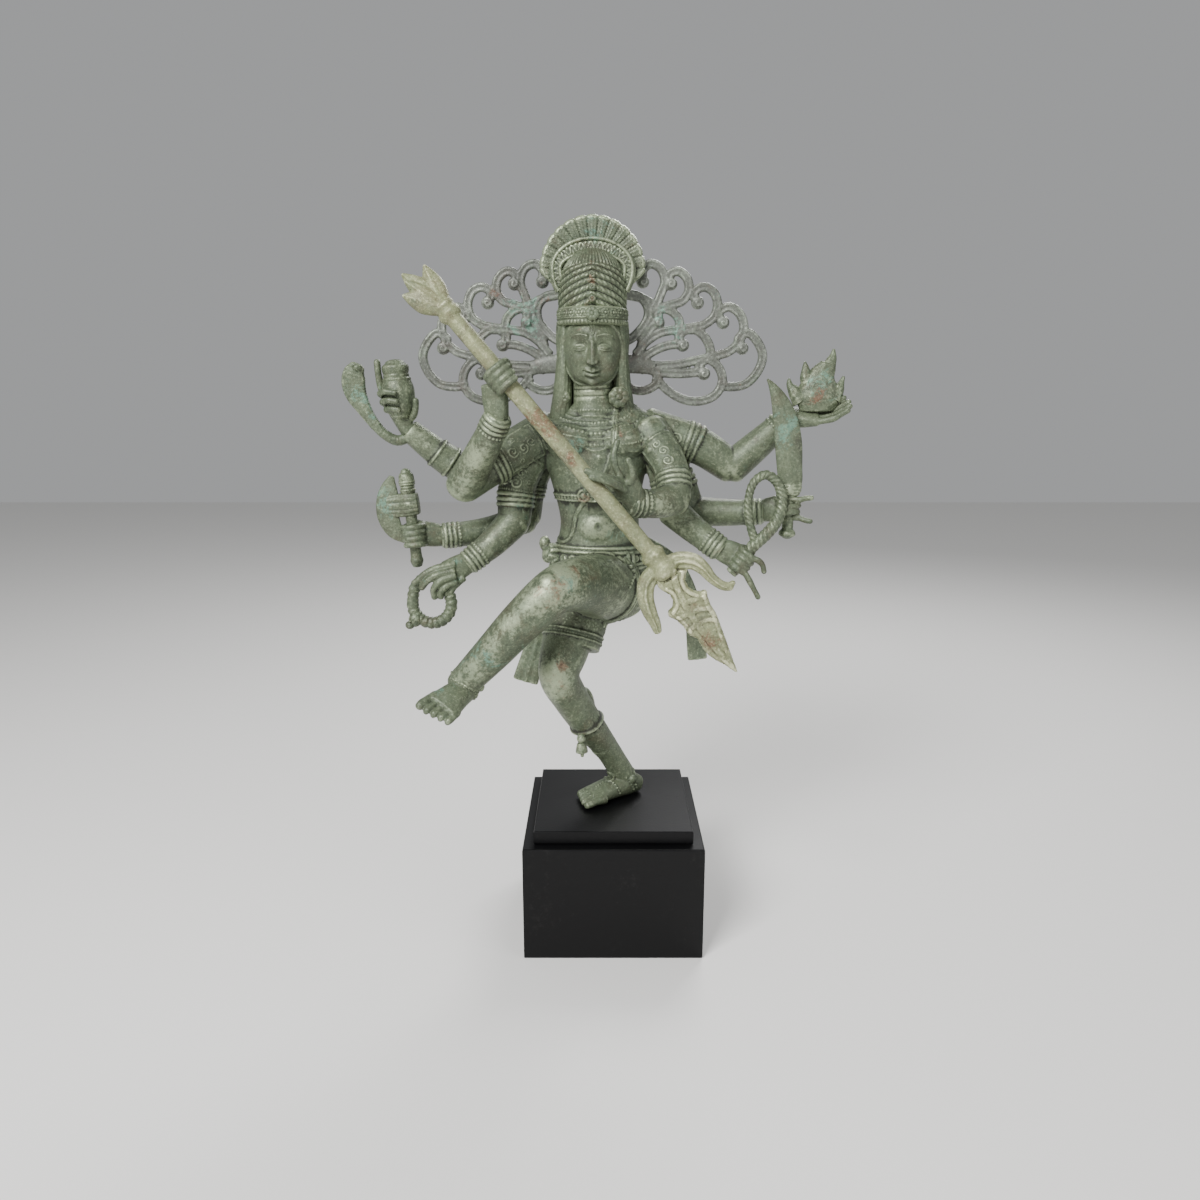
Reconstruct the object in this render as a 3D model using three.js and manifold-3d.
// A dancing Shiva with eight arms, cast hollow in bronze in one piece, on a square two-tier plinth.
// A trident cast by itself lies across the figure in two of its hands.
// Millimetres, +Z up, the figure faces -Y, and the origin is the middle of the plinth's underside.

import * as THREE from "three";
import { mergeVertices } from "three/addons/utils/BufferGeometryUtils.js";
import Module from "manifold-3d";

// The plinth
const BLOCK_SIDE = 183.5;
const BLOCK_HEIGHT = 121.8;
const BLOCK_BEVEL = 1.6;
const SLAB_SIDE = 161.4;
const SLAB_HEIGHT = 13.9;
const SLAB_BEVEL = 1.2;

// Touching pieces keep this distance
const SEAT_GAP = 0.3;

// The figure from the sole to the top of the crown. Its pose, proportions and carving are given
// in 600ths of this height, from the plinth's middle and from the sole.
const FIGURE_HEIGHT = 600;
const unit = FIGURE_HEIGHT / 600;

// The trident's shaft, and the room that it has in the two hands
const SHAFT_DIAMETER = 15.5;
const GRIP_CLEARANCE = 0.3;

const FRONT = [0, -1, 0];
const UP = [0, 0, 1];

const wasm = await Module();
wasm.setup();

// Shapes

const vec = ([x, y, z]) => new THREE.Vector3(x, y, z);
const at = (share) => vec(share).multiplyScalar(unit);
const curve = (points) => new THREE.CatmullRomCurve3(points.map(at), false, "centripetal");
const bell = (x, width) => Math.exp(-((x / width) ** 2));
const radians = THREE.MathUtils.degToRad;
const joined = (solids) => solids.reduce((all, next) => all.add(next));

/** The solid of a closed geometry whose vertices are already shared. */
function solidOf(geometry) {
  const index = geometry.index.array;
  const corners = [];
  for (let i = 0; i < index.length; i += 3) {
    const [a, b, c] = [index[i], index[i + 1], index[i + 2]];
    if (a !== b && b !== c && c !== a) corners.push(a, b, c);
  }
  const vertProperties = new Float32Array(geometry.getAttribute("position").array);
  const made = (list) =>
    new wasm.Manifold(new wasm.Mesh({ numProp: 3, vertProperties, triVerts: new Uint32Array(list) }));
  const solid = made(corners);
  return solid.volume() > 0 ? solid : made(corners.reverse());
}

/** A geometry with each vertex moved by a function of its first place, as a solid. */
function shaped(geometry, place) {
  geometry.deleteAttribute("normal");
  geometry.deleteAttribute("uv");
  const merged = mergeVertices(geometry, 1e-4);
  const positions = merged.getAttribute("position");
  const vertex = new THREE.Vector3();
  for (let i = 0; i < positions.count; i++) {
    const moved = place(vertex.fromBufferAttribute(positions, i).clone());
    positions.setXYZ(i, moved.x, moved.y, moved.z);
  }
  return solidOf(merged);
}

/**
 * A closed round body along a smooth curve. A station is [x, y, z, half-width, half-depth], and the
 * depth lies along `facing`. A band is a raised ring: [place from 0 to 1, half its length, height].
 * `round` says how far each end bulges past its station, as a share of its half-width. `turn` is
 * where the first of its sides begins, in degrees round the section.
 */
function limb(
  stations,
  { sides = 8, steps = 1, facing = FRONT, bands = [], round = [0, 0.6], turn = 0 } = {},
) {
  const path = curve(stations);
  const girth = curve(stations.map(([, , , wide, deep = wide]) => [wide, deep, 0]));
  const last = steps * (stations.length - 1);
  const inBand = (t) => bands.some(([place, half]) => Math.abs(t - place) < half * 1.3);
  const rings = [];
  for (let i = 0; i <= last; i++) {
    if (i === 0 || i === last || !inBand(i / last)) rings.push({ t: i / last, past: 0, size: 1, raise: 0 });
  }
  for (const [place, half, height] of bands) {
    for (const side of [-1, 0, 1]) {
      rings.push({ t: place + side * half, past: 0, size: 1, raise: side ? 0 : height * unit });
    }
  }
  if (round[0]) rings.push({ t: 0, past: -0.7 * round[0], size: 0.66, raise: 0 });
  if (round[1]) rings.push({ t: 1, past: 0.7 * round[1], size: 0.66, raise: 0 });
  rings.sort((a, b) => a.t + a.past / 1000 - b.t - b.past / 1000);
  const top = rings.length - 1;
  return shaped(new THREE.CylinderGeometry(1, 1, 1, sides, top, false, radians(turn)), (corner) => {
    const level = Math.round((0.5 - corner.y) * top);
    const ring = rings[level];
    const along = path.getTangent(ring.t);
    const depth = vec(facing).addScaledVector(along, -along.dot(vec(facing))).normalize();
    const across = new THREE.Vector3().crossVectors(along, depth);
    const size = girth.getPoint(ring.t);
    const isPole = Math.hypot(corner.x, corner.z) < 0.5;
    const bulge = isPole ? (level === 0 ? -round[0] : round[1]) : ring.past;
    return path
      .getPoint(ring.t)
      .addScaledVector(along, bulge * Math.min(size.x, size.y))
      .addScaledVector(across, corner.x * (size.x * ring.size + ring.raise))
      .addScaledVector(depth, corner.z * (size.y * ring.size + ring.raise));
  });
}

/** A limb of one round section through bare points, blunt at both ends. */
const rod = (points, thick, options = {}) =>
  limb(points.map((p) => [...p, thick]), { sides: 5, round: [0, 0], ...options });

/** A limb of oblong section with sharp edges and blunt ends, flat towards `facing`. */
function flatRod(stations, facing = FRONT) {
  const toCorner = Math.SQRT2;
  const wider = stations.map(([x, y, z, wide, deep = wide]) => [x, y, z, wide * toCorner, deep * toCorner]);
  return limb(wider, { sides: 4, facing, round: [0, 0], turn: 45 });
}

/** An egg-shaped body: its middle and its three half-sizes. */
function egg(middle, halves, around = 8, rows = 6) {
  return shaped(new THREE.SphereGeometry(1, around, rows), (p) => p.multiply(at(halves)).add(at(middle)));
}

/** A body turned about the line between two points: the profile is [share of the way, radius]. */
function turned(from, to, profile, sides = 10) {
  const start = at(from);
  const reach = at(to).sub(start);
  const turn = new THREE.Quaternion().setFromUnitVectors(vec(UP), reach.clone().normalize());
  const outline = [[profile[0][0], 0], ...profile, [profile.at(-1)[0], 0]];
  const lathe = new THREE.LatheGeometry(outline.map(([s, r]) => new THREE.Vector2(r * unit, s)), sides);
  return shaped(lathe, (p) => vec([p.x, -p.z, p.y * reach.length()]).applyQuaternion(turn).add(start));
}

/** A flat plate that faces the front: its outline [x, z], the depth of its middle, its thickness. */
function plate(outline, middle, thick) {
  const shape = new THREE.Shape(outline.map(([x, z]) => new THREE.Vector2(x * unit, z * unit)));
  const geometry = new THREE.ExtrudeGeometry(shape, { depth: thick * unit, bevelEnabled: false });
  return shaped(geometry, (p) => vec([p.x, (middle + thick / 2) * unit - p.z, p.y]));
}

/** A square block with bevelled edges, standing at a height. */
function squareBlock(side, height, bevel, floor) {
  const half = side / 2 - bevel;
  const corners = [[-half, -half], [half, -half], [half, half], [-half, half]];
  const outline = new THREE.Shape(corners.map(([x, y]) => new THREE.Vector2(x, y)));
  const geometry = new THREE.ExtrudeGeometry(outline, {
    depth: height - 2 * bevel,
    bevelSize: bevel,
    bevelThickness: bevel,
    bevelSegments: 2,
  });
  return shaped(geometry, (p) => vec([p.x, p.y, p.z + bevel + floor]));
}

/** Turns places given as [along, across, out] from an origin into shares of the figure. */
function placedBy(origin, along, out) {
  const a = vec(along).normalize();
  const o = vec(out).addScaledVector(a, -a.dot(vec(out))).normalize();
  const side = new THREE.Vector3().crossVectors(a, o);
  const place = ([l, s, n, ...rest]) => [
    ...vec(origin).addScaledVector(a, l).addScaledVector(side, s).addScaledVector(o, n).toArray(),
    ...rest,
  ];
  return { place, along: a.toArray(), out: o.toArray(), side: side.toArray() };
}

// Legs and feet

/** A bare foot from the back of its heel, with five toes. */
function foot(heel, toward, up, bigToeSide) {
  const { place, out } = placedBy(heel, toward, up);
  const sole = limb(
    [
      [3, 0, 9, 8, 9],
      [14, 0, 12, 11.5, 12],
      [38, 0, 10.8, 14, 10.8],
      [62, 0, 6.5, 18.5, 6.5],
    ].map(place),
    { sides: 8, facing: out, round: [0.4, 0] },
  );
  const toes = [0, 1, 2, 3, 4].map((i) => {
    const s = bigToeSide * (14.4 - (i ? 1 : 0) - 7 * i);
    const width = i === 0 ? 4.5 : 3.2;
    const tip = 77 + 2 * Math.min(i, 1) - 2.2 * i;
    return flatRod([[56, s, 6, width, 5], [tip - 5, s, 5.2, width, 4.4], [tip, s, 4, width * 0.7, 2.8]].map(place), out);
  });
  return joined([sole, ...toes]);
}

function standingLeg() {
  const fromHip = [
    [-28, 4, 244, 30, 30],
    [-40, -14, 212, 28, 28],
    [-49, -32, 178, 25, 26],
    [-55, -43, 154, 21.5, 23],
    [-45, -32, 126, 18.5, 20],
    [-25, -13, 88, 16.5, 18.5],
    [-3, 5, 50, 12.5, 14],
    [12, 13, 18, 11.5, 14],
  ];
  return joined([
    limb(fromHip, { sides: 10, round: [0, 0], bands: [[0.94, 0.02, 2.2]] }),
    foot([31, 21, 0], [-0.865, -0.5, 0], UP, -1),
  ]);
}

function raisedLeg() {
  const fromHip = [
    [2, -4, 236, 36, 34],
    [-14, -38, 244, 33, 31],
    [-34, -72, 253, 27, 26],
    [-55, -97, 252, 23, 23],
    [-84, -99, 226, 20.5, 21],
    [-117, -96, 190, 18, 19],
    [-147, -92, 158, 15.5, 16],
  ];
  return joined([
    limb(fromHip, { sides: 10, round: [0, 0.5], bands: [[0.93, 0.02, 1.8]] }),
    foot([-139, -68, 146], [-0.41, -0.91, -0.08], [0.43, -0.29, 0.85], 1),
  ]);
}

// Trunk and dress

function trunk() {
  const body = [
    [-8, 4, 208, 40, 30],
    [-11, 2, 232, 46, 36],
    [-14, 0, 260, 51, 36],
    [-14, 0, 284, 43, 31],
    [-14, 0, 306, 41, 29],
    [-16, 0, 350, 49, 32],
    [-17, 3, 384, 62, 30],
    [-18, 7, 408, 57, 24],
    [-19, 6, 421, 30, 20],
  ];
  const neck = [[-19, 4, 408, 25, 23], [-20, 2, 430, 21, 21], [-21, 0, 452, 22, 22]];
  const hair = [[-20, 14, 404, 42, 14], [-21, 16, 436, 36, 17], [-21, 14, 486, 33, 20]];
  return joined([
    limb(body, { sides: 14, round: [0, 0], bands: [[0.26, 0.03, 3.2]] }),
    limb(neck, { sides: 8, round: [0, 0] }),
    limb(hair, { sides: 8 }),
  ]);
}

/** The short skirt, the belt's knot and the two sashes. */
function dress() {
  const skirt = [[-26, 4, 250, 35, 34], [-34, -8, 220, 33, 33], [-42, -23, 184, 30.5, 31]];
  const leftSash = [[-50, 12, 264, 9, 4], [-70, 20, 222, 11, 4], [-79, 23, 172, 13, 4], [-92, 25, 128, 13, 3]];
  const rightSash = [[18, 12, 286, 9, 4], [62, 16, 256, 11, 4], [84, 16, 210, 11, 4], [93, 15, 162, 9, 3]];
  return joined([
    limb(skirt, { sides: 12, round: [0, 0] }),
    egg([-62, -10, 272], [12, 10, 9], 7, 5),
    flatRod(leftSash),
    flatRod(rightSash),
  ]);
}

// Head and crown

const HEAD = [-21, 0, 474];

/** How far the face stands out of the head's egg, in the direction turned `a` from the front, `e` up. */
function faceRelief(a, e) {
  const side = Math.abs(a);
  const bridge = THREE.MathUtils.clamp((12 - e) / 32, 0, 1) * bell(Math.min(0, e + 20), 4);
  const nose = 8 * bridge * bell(a, 4 + 5 * bridge);
  const brows = 1.6 * bell(side - 19, 13) * bell(e - 14 + side * 0.12, 4);
  const sockets = -2.6 * bell(side - 17, 9) * bell(e - 3, 7);
  const eyes = 2.6 * bell(side - 18, 8) * bell(e - 1, 4.5);
  const cheeks = 1.6 * bell(side - 26, 12) * bell(e + 18, 10);
  const lips = 3.4 * bell(a, 12) * (bell(e + 29.5, 3) + bell(e + 36, 3.4));
  const chin = 3.6 * bell(a, 16) * bell(e + 47, 8);
  return nose + brows + sockets + eyes + cheeks + lips + chin;
}

/** The head as a sphere whose meridians and rows crowd together on the face. */
function head() {
  const bare = shaped(new THREE.SphereGeometry(1, 16, 13), (p) => {
    const s = Math.atan2(p.x, -p.z) / Math.PI;
    const turn = Math.sign(s) * 180 * (0.32 * Math.abs(s) + 0.68 * Math.abs(s) ** 2.5);
    const t = (2 * Math.asin(THREE.MathUtils.clamp(p.y, -1, 1))) / Math.PI;
    const rise = -18 * (1 - t * t) + 90 * (0.4 * t + 0.6 * t ** 3);
    const [a, e] = [radians(turn), radians(rise)];
    const jaw = 1 - 0.16 * Math.max(0, -Math.sin(e)) ** 2;
    const out = [Math.cos(e) * Math.sin(a), -Math.cos(e) * Math.cos(a), Math.sin(e)];
    const half = [30 * jaw, 33, 38];
    return at(out.map((o, i) => HEAD[i] + o * (half[i] + faceRelief(turn, rise))));
  });
  const ears = [-1, 1].map((side) => {
    const out = (reach) => HEAD[0] + side * reach;
    const ear = [
      [out(29), 3, 496, 3, 5],
      [out(31.5), 2, 472, 4.5, 8.5],
      [out(31.5), 0, 448, 3.8, 6],
      [out(28), 0, 424, 3.8, 5],
    ];
    return limb(ear, { sides: 5, round: [0, 0] });
  });
  const earring = turned([5, -14, 428], [5, 2, 428], [[0, 6], [0.15, 9.5], [1, 9]], 9);
  return joined([bare, ...ears, earring]);
}

/** The domed crown: rows of braided hair that stand higher in front than at the sides. */
function crown() {
  const levels = 9;
  const [foot, rise] = [500, 68];
  const dome = shaped(new THREE.CylinderGeometry(1, 1, 1, 14, levels), (p) => {
    const h = p.y + 0.5;
    const level = Math.round(h * levels);
    const isPole = Math.hypot(p.x, p.z) < 0.5;
    const belly = Math.sqrt(Math.max(0.05, 1 - (Math.max(0, h - 0.45) / 0.57) ** 2));
    const row = level % 2 && level < levels ? 1.6 : -0.6;
    const reach = isPole ? 0 : 32.5 * belly + row;
    const tilt = 6 * Math.sin(Math.PI * h) * Math.max(0, -p.z);
    return at([HEAD[0] + reach * p.x, 5 + (reach - 1) * p.z, foot + rise * h + tilt]);
  });
  const diadem = shaped(new THREE.CylinderGeometry(1, 1, 1, 14, 3), (p) => {
    const level = Math.round((p.y + 0.5) * 3);
    const reach = Math.hypot(p.x, p.z) < 0.5 ? 0 : [32, 35, 35.5, 32.5][level];
    const height = [-8, -6, 6, 8][level];
    return at([HEAD[0] + reach * p.x, 2 + reach * p.z, 504 + height]);
  });
  return joined([dome, diadem]);
}

/** The fan of feathers behind the crown, ribbed on both faces, with an arched rim before it. */
function fan() {
  const ribs = 17;
  const [inner, outer] = [24, 50.4];
  const [from, to] = [-24, 204];
  const hub = [HEAD[0], 8, 548];
  const spread = shaped(new THREE.BoxGeometry(1, 1, 1, 2 * ribs, 1, 1), (p) => {
    const column = Math.round((p.x + 0.5) * 2 * ribs);
    const angle = radians(from + (p.x + 0.5) * (to - from));
    const outward = p.y + 0.5;
    const onRib = column % 2;
    const narrowing = 1 - (0.28 * Math.max(0, -Math.sin(angle))) / Math.sin(radians(-from));
    const reach = (inner + (outer - inner + 1.6 * onRib) * outward) * narrowing;
    const half = 4 + 1.4 * onRib * outward;
    return at([hub[0] + reach * Math.cos(angle), hub[1] + 2 * half * p.z, hub[2] + reach * Math.sin(angle)]);
  });
  const arch = [];
  for (let i = 0; i <= 8; i++) {
    const angle = radians(-30 + 30 * i);
    const high = Math.sin(angle) > 0 ? 27 : 36;
    arch.push([hub[0] + 36 * Math.cos(angle), -1.6, hub[2] + 1 + high * Math.sin(angle)]);
  }
  return joined([spread, rod(arch, 3.8, { sides: 4 })]);
}

/** The openwork halo: rods that curl into bosses, the same on both sides of the head. */
function halo() {
  const depth = 27;
  const thick = 4.1;
  // Each rod as places [outward from the head's middle, height]; a curled rod starts in its boss
  const curled = [
    [[50, 540], [51, 551], [58, 557], [68, 553], [72, 541], [63, 516]],
    [[78, 537], [77, 547], [85, 551], [94, 543], [90, 522], [66, 514]],
    [[105, 520], [103, 530], [111, 536], [122, 529], [121, 507], [87, 495]],
    [[131, 501], [129, 511], [137, 517], [149, 509], [151, 492], [136, 472], [64, 459]],
    [[151, 476], [149, 486], [157, 492], [168, 483], [171, 463], [157, 442], [129, 440]],
    [[112, 449], [110, 459], [118, 465], [129, 457], [129, 438], [107, 423], [84, 429], [65, 446]],
    [[66, 500], [64, 509], [72, 515], [83, 509], [88, 495]],
    [[91, 478], [89, 488], [99, 495], [114, 487], [120, 467]],
  ];
  const plain = [
    [[64, 456], [64, 441], [52, 434], [38, 438], [26, 450]],
    [[44, 470], [66, 490], [101, 494]],
    [[50, 454], [80, 450], [112, 451]],
    [[22, 531], [46, 527], [57, 512], [50, 492], [26, 484]],
    [[57, 520], [65, 506], [47, 470], [54, 452]],
  ];
  const solids = [-1, 1].flatMap((side) => {
    const place = ([out, z]) => [HEAD[0] + side * out, depth - 0.3 * Math.max(0, 50 - out), z];
    const boss = thick + 2.4;
    return [
      ...curled.map((points) => flatRod(points.map((p, i) => [...place(p), i ? thick : boss, thick]))),
      ...plain.map((points) => flatRod(points.map((p) => [...place(p), thick]))),
      flatRod([[...place([60, 458]), 7, thick], [...place([24, 462]), 10, thick]]),
    ];
  });
  return joined(solids);
}

// Hands and arms

// Half a finger's width; fingers side by side lie 6 apart
const GIRTH = 2.8;

/** A palm that widens from the wrist and lies flat towards `facing`. */
const palmBody = (from, to, facing) => {
  const middle = from.map((x, i) => (x + to[i]) / 2);
  return limb([[...from, 11, 9], [...middle, 12.5, 7.5], [...to, 13, 6]], { sides: 6, facing, round: [0, 0] });
};

/**
 * An open hand. The palm faces `palm`, and each finger is [bend at the knuckle, bend of its joint],
 * in degrees, from the first finger, which lies on the thumb's side (+1 or -1 across the hand).
 */
function openHand({ wrist, toward, palm, thumbSide, fingers }) {
  const { place, out, side } = placedBy(wrist, toward, palm);
  const digits = fingers.map(([knuckle, joint], i) => {
    const s = thumbSide * (9 - 6 * i);
    const [first, second] = [radians(knuckle), radians(knuckle + joint)];
    const bend = [19 + 12 * Math.cos(first), 12 * Math.sin(first)];
    const tip = [bend[0] + 13 * Math.cos(second), bend[1] + 13 * Math.sin(second)];
    const stations = [[17, s, 0, GIRTH], [bend[0], s, bend[1], GIRTH], [tip[0], s, tip[1], GIRTH * 0.7]];
    return flatRod(stations.map(place), side);
  });
  const thumb = [[4, 8, 0, 3.6], [13, 14, 4, 3.2], [21, 16, 8, 2.4]];
  const thumbBar = flatRod(thumb.map(([l, s, ...rest]) => place([l, thumbSide * s, ...rest])), out);
  return joined([palmBody(place([-3, 0, 0]), place([21, 0, 0]), out), ...digits, thumbBar]);
}

/**
 * A hand closed round a bar of the given radius. `bar` is the bar's middle in the hand, `barAlong` its
 * direction towards the little finger, and `lead` says which way the fingers go round it (+1 or -1).
 * `hold` is the room between the palm and the bar; below zero, the bar is cast into the palm.
 * `pointing` is the way of a finger that points by itself.
 */
function closedHand({ wrist, bar, barAlong, radius, hold = -1.2, lead = 1, raised = [], pointing }) {
  const toward = bar.map((x, i) => x - wrist[i]);
  const { place, along, side, out } = placedBy(bar, barAlong, toward);
  const back = out.map((x) => -x);
  const bend = 52;
  const wrap = [0, 1, 2, 3, 4].map((i) => i * bend);
  const fingerRoom = 1;
  const reach = (radius + fingerRoom + GIRTH) / Math.cos(radians(bend / 2));
  const round = (s, reach, angle) =>
    place([s, lead * reach * Math.sin(radians(angle)), -reach * Math.cos(radians(angle))]);
  const fingers = [0, 1, 2, 3].map((i) => {
    const s = -9 + 6 * i;
    const way = raised.includes(i)
      ? [round(s, radius + 6, 20), place([s * 1.5, 0, radius + 24])]
      : wrap.map((angle) => round(s, reach, angle));
    return flatRod(way.map((p) => [...p, GIRTH]), along);
  });
  const thumb = [round(-14, radius + 6, 0), round(-13, reach, -60), round(-9, reach, -120)];
  const knuckles = [round(-12, radius + 4.4 + hold, 0), round(12, radius + 4.4 + hold, 0)];
  return joined([
    palmBody(wrist, round(0, radius + 6 + hold, 0), side),
    flatRod(knuckles.map((p) => [...p, 4.4]), out),
    ...fingers,
    flatRod(thumb.map((p) => [...p, 3]), back),
    ...(pointing ? [flatRod(pointing.map((p) => [...p, GIRTH]), back)] : []),
  ]);
}

const shaftRadius = SHAFT_DIAMETER / 2 / unit;
const SHAFT_FROM = [-153, -88, 508];
const SHAFT_TO = [42, -105, 278];
const shaftAlong = SHAFT_TO.map((x, i) => x - SHAFT_FROM[i]);
const onShaft = (share) => SHAFT_FROM.map((x, i) => x + share * shaftAlong[i]);

// One entry for each arm: shoulder to elbow, elbow to wrist, and the hand
const ARMS = [
  {
    upper: [[-66, 12, 396, 21, 20], [-112, 10, 371, 18.5], [-141, 5, 349, 16.5]],
    fore: [[-142, 4, 349, 16.5], [-172, -3, 370, 14.5], [-203, -9, 396, 11.5]],
    open: { toward: [-0.25, -0.15, 1], palm: [0.3, -1, 0], thumbSide: 1, fingers: [[10, 10], [40, 50], [40, 50], [8, 8]] },
  },
  {
    upper: [[-68, 2, 392, 21, 20], [-120, -22, 362, 19], [-146, -35, 344, 17.5]],
    folded: true,
    fore: [[-147, -36, 343, 17.5], [-126, -60, 376, 15.5], [-106, -79, 412, 12]],
    closed: { bar: onShaft(0.27), barAlong: shaftAlong, radius: shaftRadius, hold: GRIP_CLEARANCE / unit },
  },
  {
    upper: [[-68, 16, 382, 19, 18], [-87, 20, 340, 18], [-91, 20, 306, 16]],
    fore: [[-91, 19, 304, 15.5], [-130, 10, 293, 14], [-176, -4, 289, 12]],
    closed: { bar: [-201.6, -16, 292], barAlong: [0.09, 0, -1], radius: 6.2 },
  },
  {
    upper: [[-70, 4, 394, 20, 20], [-96, 0, 345, 19], [-101, -5, 306, 17]],
    fore: [[-101, -6, 305, 17], [-122, -16, 284, 14.5], [-148, -27, 264, 11.5]],
    closed: { bar: [-168, -37, 240], barAlong: [0.7, 0, -0.7], radius: 5.2 },
  },
  {
    upper: [[34, 12, 397, 21, 20], [86, 10, 380, 19], [119, 8, 359, 17]],
    fore: [[120, 8, 358, 17], [148, 6, 383, 15], [176, 3, 409, 12]],
    open: { toward: [1, -0.15, 0.12], palm: [0, -0.1, 1], thumbSide: 1, fingers: [[6, 10], [6, 10], [6, 10], [6, 10]] },
  },
  {
    upper: [[36, 16, 386, 19, 18], [66, 16, 346, 17], [79, 12, 314, 15.5]],
    fore: [[79, 12, 313, 15.5], [118, 6, 312, 14], [153, -2, 314, 12]],
    closed: { bar: [175.5, -15, 319], barAlong: [0, 0, -1], radius: 6, raised: [0, 3] },
  },
  {
    upper: [[42, 2, 382, 18, 18], [54, -6, 346, 17], [59, -12, 318, 16]],
    fore: [[59, -12, 316, 16], [82, -18, 297, 14], [108, -26, 278, 12]],
    closed: { bar: [128.5, -32.3, 268.5], barAlong: [-16, 1, -23], radius: 4.8, raised: [3] },
  },
  {
    upper: [[34, -2, 395, 20, 20], [55, -24, 362, 19], [61, -42, 333, 17]],
    folded: true,
    fore: [[61, -43, 331, 17], [38, -62, 329, 14.5], [13, -76, 332, 12]],
    closed: {
      bar: onShaft(0.7),
      barAlong: shaftAlong.map((x) => -x),
      radius: shaftRadius,
      hold: GRIP_CLEARANCE / unit,
      lead: -1,
      pointing: [[-4, -90, 342], [-6, -91, 358], [-3, -90, 372], [2, -88, 391]],
    },
  },
];

/** An arm as one limb, or as two that meet at the elbow where it is folded sharply. */
function arm({ upper, fore, folded, open, closed }) {
  const wrist = fore.at(-1).slice(0, 3);
  const bracelet = { round: [0, 0] };
  const limbs = folded
    ? [limb(upper, { round: [0, 0.5] }), limb(fore, { ...bracelet, bands: [[0.86, 0.06, 2.2]] })]
    : [limb([...upper, ...fore.slice(1)], { ...bracelet, bands: [[0.93, 0.03, 2.2]] })];
  return joined([...limbs, open ? openHand({ wrist, ...open }) : closedHand({ wrist, ...closed })]);
}

// Things in the hands

/** An hourglass drum, and a cobra that rises beside it from the wrist and spreads its hood. */
function drumAndCobra() {
  const drum = turned([-207, -20, 412], [-211, -20, 462], [[0, 12], [0.14, 15], [0.5, 8], [0.86, 15], [1, 12]], 9);
  const cobra = [
    [-206, -12, 388, 5, 5],
    [-226, -15, 396, 6, 5],
    [-239, -16, 415, 9, 5],
    [-244, -17, 438, 15, 4.5],
    [-240, -20, 459, 12, 4.5],
  ];
  return [drum, limb(cobra, { sides: 6 })];
}

function axe() {
  const shaft = turned(
    [-199, -16, 262],
    [-207, -16, 354],
    [[0, 6.4], [0.58, 5.8], [0.64, 8.4], [0.78, 8.4], [0.83, 6.6], [0.92, 8.6], [1, 6.4]],
    8,
  );
  const blade = [[-205, 330], [-214, 330], [-221, 338], [-221, 351], [-231, 349], [-238, 329], [-236, 309], [-226, 291], [-208, 286]];
  return [shaft, plate(blade, -16, 9)];
}

/** A snake bent into a ring that leaves the hand above and ends in its head. */
function snakeRing() {
  const points = [[-158, -34, 262], [-176, -36, 258], [-194, -37, 250]];
  for (let i = 1; i <= 6; i++) {
    const angle = radians(135 + 45 * i);
    points.push([-182 + 19 * Math.cos(angle), -37, 226 + 19 * Math.sin(angle)]);
  }
  return [rod(points, 5.2), egg([-200, -40, 212], [6, 6, 9], 5, 4)];
}

/** A flame that stands on the palm: one body that parts into four pointed tongues. */
function flame() {
  const tongues = [[173, 445], [189, 461], [216, 473], [227, 447]];
  return [
    egg([202, -2, 432], [23, 9, 18], 8, 5),
    ...tongues.map(([x, z]) => {
      const root = 202 + (x - 202) * 0.45;
      return limb([[root, -2, 430, 9, 7], [x, -2, z, 1.4]], { sides: 4, round: [0, 0] });
    }),
  ];
}

function sword() {
  const blade = [
    [176, -15, 336, 8, 3.6],
    [175, -15, 358, 12.5, 3.6],
    [172, -17, 390, 13.5, 3.6],
    [164, -18, 420, 9, 3.2],
    [149, -18, 444, 1.4, 1.6],
  ];
  const grip = [[0, 5], [0.12, 8], [0.26, 6], [0.82, 6], [1, 8.4]];
  return [limb(blade, { sides: 4, round: [0, 0] }), turned([175, -15, 290], [176, -15, 342], grip, 7)];
}

/** A twisted rope that leaves the hand, turns back on itself in a loop and comes down again. */
function noose() {
  const points = [
    [124, -32, 262],
    [140, -33, 285],
    [153, -31, 296],
    [163, -29, 310],
    [166, -27, 330],
    [159, -27, 348],
    [147, -28, 353],
    [136, -30, 345],
    [132, -32, 326],
  ];
  const tail = [[132, -32, 330], [135, -32, 306], [141, -33, 282]];
  return [rod(points, 4.8), rod(tail, 5.8)];
}

// The trident

const shaftBody = (radius, sides) => turned(SHAFT_FROM, SHAFT_TO, [[0, radius], [1, radius]], sides);

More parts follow.
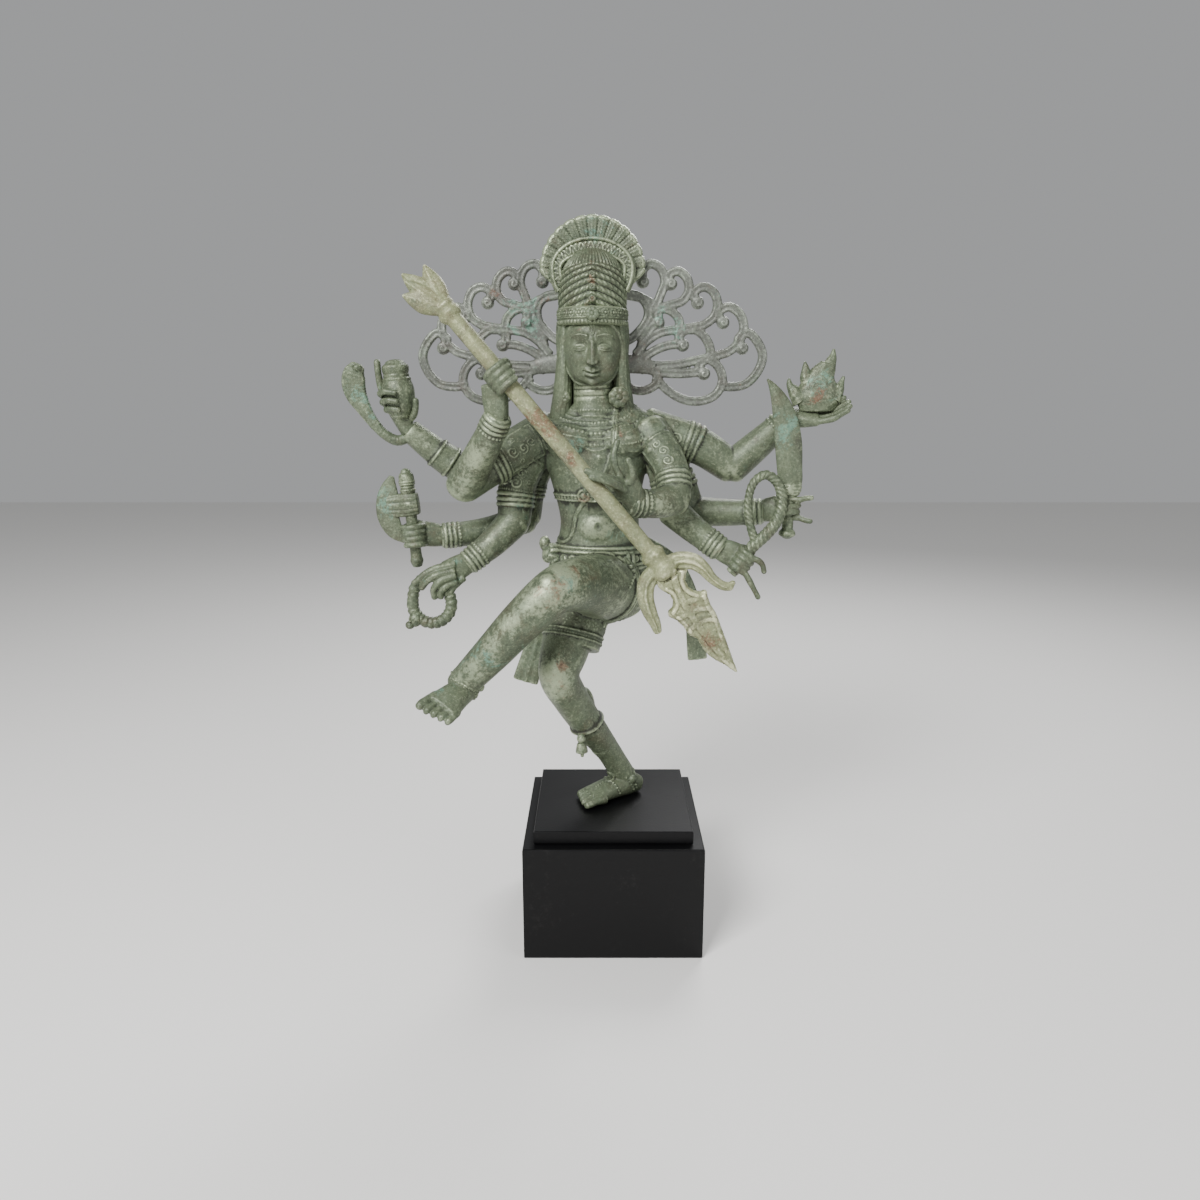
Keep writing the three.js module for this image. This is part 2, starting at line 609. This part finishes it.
/** The lotus bud at the butt, the banded collar, and the head: two curled prongs and a barbed leaf. */
function tridentBody() {
  const bud = [[-188, -84, 534], [-169, -80, 542], [-186, -93, 515]].map((tip) => {
    const middle = tip.map((x, i) => x * 0.45 + SHAFT_FROM[i] * 0.55);
    return limb([[...SHAFT_FROM, 9], [...middle, 11], [...tip, 2.4]], { sides: 6, round: [0, 0] });
  });
  const collar = turned(onShaft(0.95), onShaft(1.04), [[0, 8.6], [0.25, 12], [0.5, 10.5], [0.8, 13], [1, 12]]);
  const rightProng = [[44, -105, 278, 8, 7], [60, -106, 282, 9, 7], [80, -107, 274, 8, 6.5], [94, -108, 264, 6.5, 5.5], [106, -108, 259, 5.5, 5]];
  const leftProng = [[44, -105, 274, 8, 7], [30, -106, 265, 8.5, 7], [27, -107, 250, 8, 6.5], [32, -108, 234, 7.5, 6], [39, -110, 217, 5.5, 5]];
  const leaf = [
    [42, 278], [64, 274], [71, 264], [80, 257], [89, 244], [95, 227], [104, 203], [114, 177],
    [99, 184], [82, 196], [66, 215], [57, 225], [49, 233], [55, 241], [52, 254], [45, 262],
  ];
  return joined([
    shaftBody(shaftRadius, 12),
    ...bud,
    collar,
    limb(rightProng, { sides: 7, round: [0, 0.7] }),
    limb(leftProng, { sides: 7, round: [0, 0.7] }),
    plate(leaf, -107, 9),
  ]);
}

// Assembly

function figureBody() {
  const cast = joined([
    standingLeg(),
    raisedLeg(),
    trunk(),
    dress(),
    head(),
    crown(),
    fan(),
    halo(),
    ...ARMS.map(arm),
    ...drumAndCobra(),
    ...axe(),
    ...snakeRing(),
    ...flame(),
    ...sword(),
    ...noose(),
  ]);
  const ground = shaped(new THREE.BoxGeometry(1000, 1000, 100), (p) => vec([p.x, p.y, p.z - 50]));
  // A bore of few sides that clears the round shaft all the way round
  const boreSides = 8;
  const bore = (shaftRadius + GRIP_CLEARANCE / unit) / Math.cos(Math.PI / boreSides);
  return cast.subtract(shaftBody(bore, boreSides)).subtract(ground);
}

/** A mesh of a solid, with the finish of its piece. */
function piece(name, solid, color, roughness, metalness) {
  const { vertProperties, triVerts } = solid.getMesh();
  const geometry = new THREE.BufferGeometry();
  geometry.setAttribute("position", new THREE.BufferAttribute(vertProperties, 3));
  geometry.setIndex(new THREE.BufferAttribute(triVerts, 1));
  geometry.computeVertexNormals();
  const mesh = new THREE.Mesh(geometry, new THREE.MeshStandardMaterial({ color, roughness, metalness }));
  mesh.name = name;
  return mesh;
}

const slabFloor = BLOCK_HEIGHT + SEAT_GAP;

const statue = new THREE.Group();
statue.position.z = slabFloor + SLAB_HEIGHT + SEAT_GAP;
statue.add(piece("figure", figureBody(), 0x3d4438, 0.62, 0.7));
statue.add(piece("trident", tridentBody(), 0x6f7460, 0.6, 0.6));

const group = new THREE.Group();
group.add(piece("plinth_block", squareBlock(BLOCK_SIDE, BLOCK_HEIGHT, BLOCK_BEVEL, 0), 0x0b0b0c, 0.4, 0));
group.add(piece("plinth_slab", squareBlock(SLAB_SIDE, SLAB_HEIGHT, SLAB_BEVEL, slabFloor), 0x0b0b0c, 0.4, 0));
group.add(statue);

export default group;
